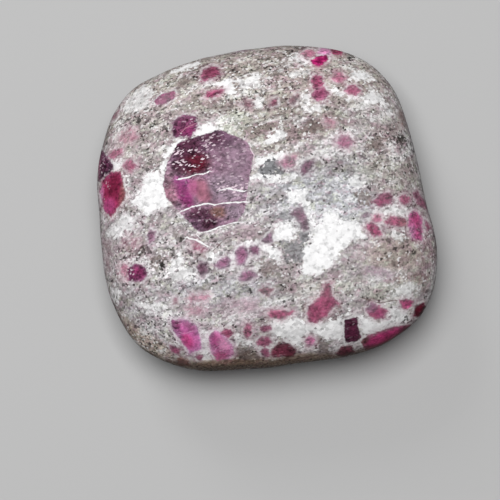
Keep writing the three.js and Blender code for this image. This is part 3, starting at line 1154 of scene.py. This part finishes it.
class Rock:
    """The stone's material, built up from the ground mass to the crystals."""

    # How far bands, blades, grains and flaws are drawn out along the rock's layers, and squeezed across
    LAYER_STRETCH = 1.6
    BAND_STRETCH = 2.6
    BLADE_STRETCH = 5.0
    BLADE_WIDTH = 0.8
    GRAIN_STRETCH = 1.2
    FLAW_STRETCH = 1.9
    FLAW_WIDTH = 0.9
    # How far the borders of grains and flaws are ruffled, in mm
    GRAIN_RUFFLE = 0.3
    FLAW_RUFFLE = 0.15

    # The ground mass: how strong its casts, bands and mottles are
    HUE = 0.65
    GRAIN_HUE = 0.12
    DARK_BAND = 0.52
    PALE_BAND = 0.45
    COARSE_MOTTLE = 0.5
    FINE_MOTTLE = 0.95
    PLAIN_MOTTLE = 0.85
    ZONE_MOTTLE = 0.3
    HUE_FADE = (0.0, 0.2)
    SAGE_FADE = (0.0, -0.2)
    DARK_FADE = (0.02, -0.16)
    PALE_FADE = (0.0, 0.16)
    # How much the pale bands give way under the near wall's painted shade and stain
    PALE_UNDER_SHADE_AND_STAIN = 0.7

    # Feldspar: its brightness, how dark its clouds are, how much its grains vary, and the share of the grains
    # of a loose patch that are dark
    FELDSPAR_LIGHT = 1.06
    FELDSPAR_CLOUD = 0.4
    CLOUD_FADE = (0.08, 0.4)
    CLOUD_GRAIN = 0.2
    FELDSPAR_GRAIN = 0.16
    LOOSE_FILL = (1.0, 0.9)
    LOOSE_GRAIN = 0.6
    LOOSE_MIDDLE = 0.58
    FELDSPAR_SPECKS = 0.045
    SPECK_BLUR = 0.015
    SPECK = 0.8

    # How far borders wander with the noise and with single grains, in mm
    FELDSPAR_WANDER = 1.6
    FELDSPAR_STEP = 0.5
    DARK_WANDER = 0.9
    DARK_STEP = 0.7

    # Dark patches: the brightness of their darkest grains, and how much lighter the others are
    DARK_LIGHT = 0.45
    DARK_GRAIN = 1.1

    # Cracks: how far they wander in mm, the share of their width that shows, how that varies, and their edge
    WANDER = 0.22
    CRACK_WIDTH = 0.9
    CRACK_VARIES = 3.0
    CRACK_EDGE = (-0.03, 0.04)

    # The near wall's painted shade and brown stain: how uneven it is, and the strengths between which that
    # unevenness and the darkening itself fade in
    SHADE_AND_STAIN_UNEVEN = 1.5
    UNEVEN_FADE = (0.0, 0.4)
    SHADE_AND_STAIN_FADE = (0.0, 0.85)

    # Pits: the depths between which their soil fades in, as shares of a middling pit, and how dark it is
    SOIL_FADE = (0.25, 0.9)
    SOIL = 0.6

    # The polish: its roughness, how uneven that is, what is added where it is pitted, cracked or ruby, how
    # strong its ripple is, and how much it mirrors
    POLISHED = 0.27
    UNEVEN = 0.25
    PITTED = 0.25
    CRACKED = 0.15
    RUBY_POLISH = -0.06
    RIPPLE = 0.4
    IOR = 1.6
    MIRROR = 0.2

    def __init__(self, colours, sizes):
        self.colours = colours
        self.sizes = sizes
        self.shader = Shader(STONE_SLOT)
        self.origin = self.shader.node("ShaderNodeTexCoord", {}, {}, "Object")
        self.place = self.spread(0, 1.0)
        self.layers = self.spread(LAYERING, self.LAYER_STRETCH)
        self.bands = self.spread(LAYERING, self.BAND_STRETCH)
        self.blades = self.spread(LAYERING, self.BLADE_STRETCH, self.BLADE_WIDTH)
        self.grains = self.ruffle(self.spread(LAYERING, self.GRAIN_STRETCH), self.GRAIN_RUFFLE)
        self.flaws = self.ruffle(self.spread(LAYERING, self.FLAW_STRETCH, self.FLAW_WIDTH), self.FLAW_RUFFLE)

    def spread(self, turn, stretch, width=1.0):
        """Places on the stone in mm, along axes turned about the vertical, stretched or squeezed."""
        size = (stretch * MM, width * MM, MM)
        inputs = {"Vector": self.origin, "Rotation": (0, 0, turn), "Scale": size}
        return self.shader.node("ShaderNodeMapping", {"vector_type": "TEXTURE"}, inputs)

    def ruffle(self, place, amount):
        """Places moved about a little, so that grains there have uneven borders."""
        inputs = {"Scale": GRAIN_BORDERS.scale, "Detail": GRAIN_BORDERS.detail}
        stir = self.shader.node("ShaderNodeTexNoise", {}, {"Vector": place, **inputs}, "Color")
        inputs = {0: stir, 1: (amount, amount, amount), 2: place}
        return self.shader.node("ShaderNodeVectorMath", {"operation": "MULTIPLY_ADD"}, inputs)

    def tint(self, name):
        return tuple(getattr(self.colours, name))

    def mask(self, name, ragged):
        """Where a layer's mineral shows, with its edge made ragged."""
        depth = self.shader.value(f"{name}_depth") + ragged
        edge = self.shader.value(f"{name}_edge")
        return self.shader.ramp(depth / edge, -1.0, 1.0) * self.shader.value(f"{name}_fill")

    def highest(self, draw, share, blur):
        """Grains whose random draw is among the highest share of them."""
        return self.shader.ramp(draw + share, 1.0 - blur, 1.0 + blur)

    def lowest(self, draw, share, blur):
        """Grains whose random draw is among the lowest share of them."""
        return self.shader.ramp(share - draw, -blur, blur)

    def sprinkle(self, colour, tint, pick, band, kinds):
        """A colour with grains of a tint among it, picked by their draws. Where two kinds of grain meet,
        the stronger shows."""
        shader = self.shader
        zone = shader.value("speckle")
        strengths = []
        for grains, draw in kinds:
            share = grains.share + band * grains.in_band + zone * grains.in_zone
            strengths.append(pick(draw, share, grains.blur) * grains.strength)
        return shader.mix(shader.math("MAXIMUM", *strengths), colour, self.tint(tint))

    def ground(self):
        """Fine ground mass: casts of colour, pale and dark bands, and a mosaic of small grains."""
        shader = self.shader
        tone, chance, cast = shader.draws(self.grains, COARSE_GRAINS)
        fine_tone, fine_chance, fine_cast = shader.draws(self.grains, FINE_GRAINS)

        hue = shader.noise(self.layers, GROUND_HUES) + (cast + fine_cast - 1.0) * self.GRAIN_HUE
        colour = shader.paint("ground_colour")
        colour = shader.mix(shader.ramp(hue, *self.HUE_FADE) * self.HUE, colour, self.tint("blush"))
        colour = shader.mix(shader.ramp(hue, *self.SAGE_FADE) * self.HUE, colour, self.tint("sage"))

        band = shader.noise(self.bands, GROUND_BANDS)
        dark = shader.ramp(band, *self.DARK_FADE)
        # Pale bands give way under the near wall's painted shade and stain
        pale = shader.ramp(band, *self.PALE_FADE) * (1.0 - shader.value("stain") * self.PALE_UNDER_SHADE_AND_STAIN)
        colour = shader.mix(dark * self.DARK_BAND, colour, self.tint("brown"))
        colour = shader.mix(pale * self.PALE_BAND, colour, self.tint("feldspar"))

        mottle = (tone - 0.5) * self.COARSE_MOTTLE + (fine_tone - 0.5) * self.FINE_MOTTLE
        mottle *= self.PLAIN_MOTTLE + shader.value("speckle") * self.ZONE_MOTTLE
        colour = shader.shade(colour, 1.0 + mottle)

        # White grains, which are also painted glints of the polish
        salt_and_glints = ((COARSE_SALT_AND_GLINTS, chance), (FINE_SALT_AND_GLINTS, fine_chance))
        colour = self.sprinkle(colour, "feldspar", self.highest, pale, salt_and_glints)
        pepper = ((COARSE_PEPPER, chance), (FINE_PEPPER, fine_chance))
        return self.sprinkle(colour, "mica", self.lowest, dark, pepper)

    def feldspar(self, below):
        """White patches with borders that follow the grains and grey clouds. Loose patches, which are not
        quite solid, also have uneven grains and a few dark specks."""
        shader = self.shader
        tone, chance, _ = shader.draws(self.grains, FELDSPAR_GRAINS)
        cloud = shader.noise(self.place, FELDSPAR_CLOUDS) + tone * self.CLOUD_GRAIN
        cloud = shader.ramp(cloud, *self.CLOUD_FADE) * self.FELDSPAR_CLOUD
        light = self.FELDSPAR_LIGHT - cloud - (chance - 0.5) * self.FELDSPAR_GRAIN
        colour = shader.shade(shader.paint("feldspar_colour"), light)
        loose = shader.ramp(shader.value("feldspar_fill"), *self.LOOSE_FILL)
        specks = self.lowest(chance, self.FELDSPAR_SPECKS, self.SPECK_BLUR) * loose
        colour = shader.mix(specks * self.SPECK, colour, self.tint("mica"))
        colour = shader.shade(colour, 1.0 + (tone - self.LOOSE_MIDDLE) * loose * self.LOOSE_GRAIN)
        ragged = shader.noise(self.layers, FELDSPAR_BORDER) * self.FELDSPAR_WANDER
        ragged += (tone - 0.5) * self.FELDSPAR_STEP
        return shader.mix(self.mask("feldspar", ragged), below, colour)

    def darks(self, below):
        """Dark patches: clusters of dark grains."""
        shader = self.shader
        tone, chance, _ = shader.draws(self.grains, DARK_GRAINS)
        colour = shader.shade(shader.paint("dark_colour"), self.DARK_LIGHT + tone * self.DARK_GRAIN)
        ragged = shader.noise(self.layers, DARK_BORDER) * self.DARK_WANDER + (chance - 0.5) * self.DARK_STEP
        return shader.mix(self.mask("dark", ragged), below, colour)

    def cracks(self, below):
        """Healed cracks, thin and of uneven width, and where they are."""
        shader = self.shader
        side = abs(shader.value("crack_side") + shader.noise(self.place, CRACK_WANDER) * self.WANDER)
        shows = self.CRACK_WIDTH + shader.noise(self.place, CRACK_WIDTHS) * self.CRACK_VARIES
        mask = shader.ramp(shader.value("crack_width") * shows - side, *self.CRACK_EDGE)
        return shader.mix(mask, below, shader.paint("crack_colour")), mask

    def shaded_and_stained(self, colour):
        """A colour darkened on the near wall, of uneven strength: painted shade, with some of the wall's own
        brown.
        """
        shader = self.shader
        stain = shader.value("stain")
        uneven = shader.noise(self.bands, SHADE_AND_STAIN_CLOUDS) * self.SHADE_AND_STAIN_UNEVEN
        uneven *= shader.ramp(stain, *self.UNEVEN_FADE)
        strength = shader.ramp(stain + uneven, *self.SHADE_AND_STAIN_FADE)
        clear = (1.0, 1.0, 1.0)
        return shader.multiply(colour, shader.mix(strength, clear, self.tint("stain")))

    def build(self):
        """Joins the minerals, cracks, pits and the near wall's painted shade and stain in one polished
        surface.
        """
        shader = self.shader
        ruby = Ruby(self)
        colour = ruby.over(self.darks(self.feldspar(self.ground())))
        colour, crack = self.cracks(colour)
        pit = shader.ramp(shader.value("pit"), *self.SOIL_FADE)
        colour = shader.mix(pit * self.SOIL, colour, self.tint("brown"))
        roughness = self.POLISHED + shader.noise(self.place, POLISH) * self.UNEVEN
        roughness += ruby.mask * self.RUBY_POLISH + pit * self.PITTED + crack * self.CRACKED
        ripple = {
            "Strength": self.RIPPLE,
            "Distance": self.sizes.ripple,
            "Height": shader.noise(self.place, POLISH_RIPPLE),
        }
        inputs = {
            "Base Color": self.shaded_and_stained(colour),
            "Roughness": roughness,
            "Normal": shader.node("ShaderNodeBump", {}, ripple, "Normal"),
            "IOR": self.IOR,
            "Specular IOR Level": self.MIRROR,
        }
        return shader.finish(inputs)


class Ruby:
    """The crystals' part of the rock. Depths are in mm, from a crystal's ragged border inwards."""

    # How far a crystal's border lies out, and wanders with the noise, with single grains and where it frays
    BORDER_OUT = 0.05
    BORDER_WANDER = 0.45
    BORDER_STEP = 0.8
    BORDER_FRAY = 1.6

    # The widths of edge between which a crystal turns from frayed to crisp, and gets its pale halo
    CRISP_EDGE = (0.34, 0.2)
    HALO_EDGE = (0.07, 0.16)

    # Around a crystal: the depths and strengths of the colour that bleeds out and of the feldspar rim, the
    # share of that rim which the great crystal has, and where noise breaks it
    BLEED_DEPTH = (-0.6, 0.0)
    BLEED = 0.25
    BLEED_LIGHT = 1.5
    RIM_DEPTH = (-0.32, -0.08)
    RIM = 0.5
    GREAT_RIM = 0.2
    RIM_BREAKS = (-0.12, 0.1)

    # Inside it: how much its tone varies, how much less where it is clear, and its core and its pale halo
    BLADE = 1.4
    MOSAIC = 0.9
    GREAT_MOSAIC = 0.1
    CLOUD = 1.8
    CALM = 0.8
    CORE_DEPTH = (0.05, 0.55)
    CORE_CLOUD = 0.8
    HALO_DEPTH = (0.22, -0.15)
    HALO_VEIL = 0.5
    HALO = 0.3

    # Its deep parts: where they lie, how strong they are, and how much light they keep
    DEEP_FADE = (0.05, 0.25)
    DEEP_SHIFT = 0.1
    DEEP_CLOUD = 0.6
    DEEP = 0.55
    DEEP_GREAT = -0.15
    DEEP_ZONE = 0.4
    DEEP_LIGHT = 0.32

    # Its milky parts: where they lie, how strong they are, and how pale and white
    MILK_FADE = (0.02, 0.22)
    MILK_BLADE = 0.5
    MILK_DEPTH = (0.0, 0.5)
    MILK_INSIDE = -0.08
    MILK = 0.6
    MILK_LIGHT = 1.9
    MILK_WHITE = 0.12

    # Its bright flaws: their share of its grains, how much that grows in rows and in a flawed zone, how
    # strong they are at least outside such a zone, and the brightness of the dullest
    FLAWS = 0.025
    FLAW_ROW = 0.35
    FLAW_ZONE = 0.12
    FLAW_LEAST = 0.2
    FLAW_DULL = 0.35

    def __init__(self, rock):
        shader = rock.shader
        self.rock = rock
        self.shader = shader
        self.great = shader.value("ruby_great")
        self.small = 1.0 - self.great
        self.calm = 1.0 - shader.value("ruby_clear") * self.CALM
        self.fill = shader.value("ruby_fill")
        self.edge = shader.value("ruby_edge")
        self.crisp = shader.ramp(self.edge, *self.CRISP_EDGE)
        self.blade = shader.noise(rock.blades, RUBY_BLADES)
        self.cloud = shader.noise(rock.place, RUBY_CLOUDS)
        self.veil = shader.noise(rock.layers, RUBY_VEILS)
        self.tone, _, step = shader.draws(rock.grains, RUBY_GRAINS)
        ragged = self.BORDER_OUT + shader.noise(rock.place, RUBY_BORDER) * self.BORDER_WANDER
        ragged += (step - 0.5) * self.edge * self.BORDER_STEP
        ragged += shader.noise(rock.layers, RUBY_FRAY) * (1.0 - self.crisp) * self.BORDER_FRAY
        self.depth = shader.value("ruby_depth") + ragged
        self.mask = rock.mask("ruby", ragged)

    def surroundings(self, below):
        """The rock about a crystal: colour that bleeds out of it, and a broken rim of feldspar."""
        shader = self.shader
        bleed = shader.ramp(self.depth, *self.BLEED_DEPTH) * self.fill * self.small
        glow = shader.shade(shader.paint("ruby_colour"), self.BLEED_LIGHT)
        below = shader.mix(bleed * self.BLEED, below, glow)
        rim = shader.ramp(self.depth, *self.RIM_DEPTH) * self.fill
        rim *= self.GREAT_RIM + self.small * (1.0 - self.GREAT_RIM)
        rim *= shader.ramp(shader.noise(self.rock.place, RUBY_RIM), *self.RIM_BREAKS)
        return shader.mix(rim * self.RIM, below, self.rock.tint("feldspar"))

    def body(self):
        """Clouded and bladed colour, with a deeper core and a pale halo in the smaller crystals."""
        shader = self.shader
        mosaic = (self.tone - 0.5) * (self.MOSAIC + self.great * self.GREAT_MOSAIC)
        tone = 1.0 + (self.blade * self.BLADE + mosaic) * self.calm + self.cloud * self.CLOUD
        colour = shader.shade(shader.paint("ruby_colour"), tone)
        core = shader.ramp(self.depth + self.cloud * self.CORE_CLOUD, *self.CORE_DEPTH)
        core *= self.small * self.crisp
        colour = shader.mix(core, colour, shader.multiply(colour, self.rock.tint("core")))
        halo = shader.ramp(self.depth + self.veil * self.HALO_VEIL, *self.HALO_DEPTH)
        halo *= self.small * shader.ramp(self.edge, *self.HALO_EDGE)
        return shader.mix(halo * self.HALO, colour, self.rock.tint("milk"))

    def deepened(self, colour):
        """A crystal's colour with its deep, dark parts."""
        shader = self.shader
        zone = shader.value("ruby_deep")
        gloom = self.veil * self.great + shader.noise(self.rock.place, RUBY_GLOOM) * self.small
        deep = shader.ramp(zone * self.DEEP_SHIFT - gloom - self.cloud * self.DEEP_CLOUD, *self.DEEP_FADE)
        deep *= self.DEEP + self.great * self.DEEP_GREAT + zone * self.DEEP_ZONE
        return shader.mix(deep * self.calm * self.crisp, colour, shader.shade(colour, self.DEEP_LIGHT))

    def clouded(self, colour):
        """A crystal's colour with its pale, milky parts."""
        shader = self.shader
        inside = shader.ramp(self.depth, *self.MILK_DEPTH) * self.MILK_INSIDE
        milk = shader.ramp(self.veil + self.blade * self.MILK_BLADE + inside, *self.MILK_FADE) * self.calm
        white = self.MILK_WHITE + self.great * self.MILK_WHITE
        pale = shader.mix(white, shader.shade(colour, self.MILK_LIGHT), self.rock.tint("milk"))
        return shader.mix(milk * self.MILK, colour, pale)

    def flawed(self, colour):
        """A crystal's colour with small bright flaws in rows along its blades."""
        shader = self.shader
        zone = shader.value("ruby_flawed")
        light, glint, _ = shader.draws(self.rock.flaws, RUBY_FLAWS)
        rows = shader.noise(self.rock.blades, FLAW_ROWS) * self.FLAW_ROW
        flaw = self.rock.highest(glint, self.FLAWS + rows + zone * self.FLAW_ZONE, self.FLAWS)
        flaw *= self.FLAW_DULL + light * (1.0 - self.FLAW_DULL)
        flaw *= self.calm * shader.math("MAXIMUM", zone, self.FLAW_LEAST)
        return shader.mix(flaw, colour, self.rock.tint("milk"))

    def over(self, below):
        """The crystals over the rest of the rock."""
        colour = self.flawed(self.clouded(self.deepened(self.body())))
        return self.shader.mix(self.mask, self.surroundings(below), colour)


class RUBYSTONE_OT_stone(bpy.types.Operator):
    """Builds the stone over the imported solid"""

    bl_idname = "rubystone.stone"
    bl_label = "Stone"

    def execute(self, context):
        colours = context.scene.ruby_stone_colours
        sizes = context.scene.ruby_stone_sizes
        mesh = fine_mesh(STONE_PIECE)
        self.lay_minerals(Surface(mesh, colours), sizes)
        mesh.materials.append(Rock(colours, sizes).build())
        stone = bpy.data.objects.new(STONE_PIECE, mesh)
        context.scene.collection.objects.link(stone)
        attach(stone, STONE_BODY)
        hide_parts(STONE_NODE)
        return {"FINISHED"}

    def lay_minerals(self, surface, sizes):
        """Works out what lies at each vertex, then carves the relief that follows from it."""
        rng = np.random.default_rng(sizes.seed)
        ruby = ruby_layer(surface, sizes, rng)
        patch_layer(
            surface, "feldspar", FELDSPAR, sizes.feldspar_depth, HIDDEN_FELDSPAR, sizes.hidden_patches, rng
        )
        patch_layer(surface, "dark", DARKS, sizes.dark_depth, HIDDEN_DARKS, sizes.hidden_specks, rng)
        surface.keep_colours("ground_colour", ground_colour(surface, sizes.hidden_washes, rng))
        # The near wall's painted shade, with some of its brown stain
        surface.keep_values("stain", shade_and_stain_field(surface))
        surface.keep_values("speckle", zone_weight(surface, SPECKLED) - zone_weight(surface, CALM))
        cracks = CrackField(surface)
        cracks.keep()
        carve(surface, sizes, ruby, cracks, rng)


class RUBYSTONE_OT_stage(bpy.types.Operator):
    """Builds the floor, the light and the camera"""

    bl_idname = "rubystone.stage"
    bl_label = "Stage"

    def execute(self, context):
        scene = context.scene
        stage = scene.ruby_stone_stage
        self.floor(scene, stage)
        self.key(scene, stage)
        self.lamp(scene, stage, "sheen")
        self.fill(scene, stage)
        self.camera(scene)
        scene.view_settings.view_transform = "Standard"
        return {"FINISHED"}

    def floor(self, scene, stage):
        """A plain floor. It neither shows in the polish nor lights the stone from below."""
        shape = bmesh.new()
        bmesh.ops.create_grid(shape, x_segments=1, y_segments=1, size=stage.floor_side / 2)
        bmesh.ops.translate(shape, verts=shape.verts[:], vec=(0, 0, -stage.floor_gap))
        mesh = bpy.data.meshes.new("floor")
        shape.to_mesh(mesh)
        shape.free()
        mesh.materials.append(Shader("floor").finish({"Base Color": solid(stage.floor), "Roughness": 0.9}))
        floor = bpy.data.objects.new("floor", mesh)
        floor.visible_glossy = False
        floor.visible_diffuse = False
        scene.collection.objects.link(floor)

    def lamp(self, scene, stage, name):
        """A square light that leans away from upright, towards a bearing from +X, and faces the stone."""
        watts, side, distance, lean, bearing = (
            getattr(stage, f"{name}_{part}") for part in ("power", "side", "distance", "lean", "bearing")
        )
        light = bpy.data.lights.new(name, "AREA")
        light.energy = watts
        light.size = side
        towards = Vector((math.sin(lean), 0, math.cos(lean)))
        towards.rotate(Matrix.Rotation(bearing, 3, "Z"))
        turn = towards.to_track_quat("Z", "Y").to_matrix().to_4x4()
        lamp = bpy.data.objects.new(name, light)
        lamp.matrix_world = Matrix.Translation(towards * distance) @ turn
        scene.collection.objects.link(lamp)
        return lamp

    def key(self, scene, stage):
        """The main light, polarised, so that the polish shows no reflection of it."""
        key = self.lamp(scene, stage, "key")
        key.visible_glossy = False

    def fill(self, scene, stage):
        """An even white light from all round."""
        world = bpy.data.worlds.new("fill")
        world.use_nodes = True
        background = world.node_tree.nodes["Background"]
        background.inputs["Strength"].default_value = stage.fill
        background.inputs["Color"].default_value = (1, 1, 1, 1)
        scene.world = world

    def camera(self, scene):
        """A camera that sees the stone as the photograph does."""
        right, up, back, stand = photo_axes()
        lens = bpy.data.cameras.new("camera")
        lens.lens = PHOTO_SCALE * PHOTO_DISTANCE / PHOTO_SIDE * lens.sensor_width
        camera = bpy.data.objects.new("camera", lens)
        turn = Matrix((right, up, back)).transposed().to_4x4()
        camera.matrix_world = Matrix.Translation(stand) @ turn
        scene.collection.objects.link(camera)
        scene.camera = camera


class RUBYSTONE_PT_panel(bpy.types.Panel):
    """Lists the stone's operators and settings"""

    bl_idname = "RUBYSTONE_PT_panel"
    bl_label = "Ruby Stone"
    bl_space_type = "VIEW_3D"
    bl_region_type = "UI"
    bl_category = "Ruby Stone"

    def draw(self, context):
        layout = self.layout
        for operator in (RUBYSTONE_OT_stone, RUBYSTONE_OT_stage):
            layout.operator(operator.bl_idname)
        for group in GROUPS:
            settings = getattr(context.scene, group)
            box = layout.box()
            for name in settings.bl_rna.properties.keys():
                if name not in ("rna_type", "name"):
                    box.prop(settings, name)


GROUPS = {
    "ruby_stone_sizes": RubyStoneSizes,
    "ruby_stone_colours": RubyStoneColours,
    "ruby_stone_stage": RubyStoneStage,
}
CLASSES = (*GROUPS.values(), RUBYSTONE_OT_stone, RUBYSTONE_OT_stage, RUBYSTONE_PT_panel)


def register():
    for cls in CLASSES:
        bpy.utils.register_class(cls)
    for name, group in GROUPS.items():
        setattr(bpy.types.Scene, name, PointerProperty(type=group))


def unregister():
    for name in GROUPS:
        delattr(bpy.types.Scene, name)
    for cls in reversed(CLASSES):
        bpy.utils.unregister_class(cls)


def main():
    register()
    bpy.ops.rubystone.stone()
    bpy.ops.rubystone.stage()


if __name__ == "__main__":
    main()
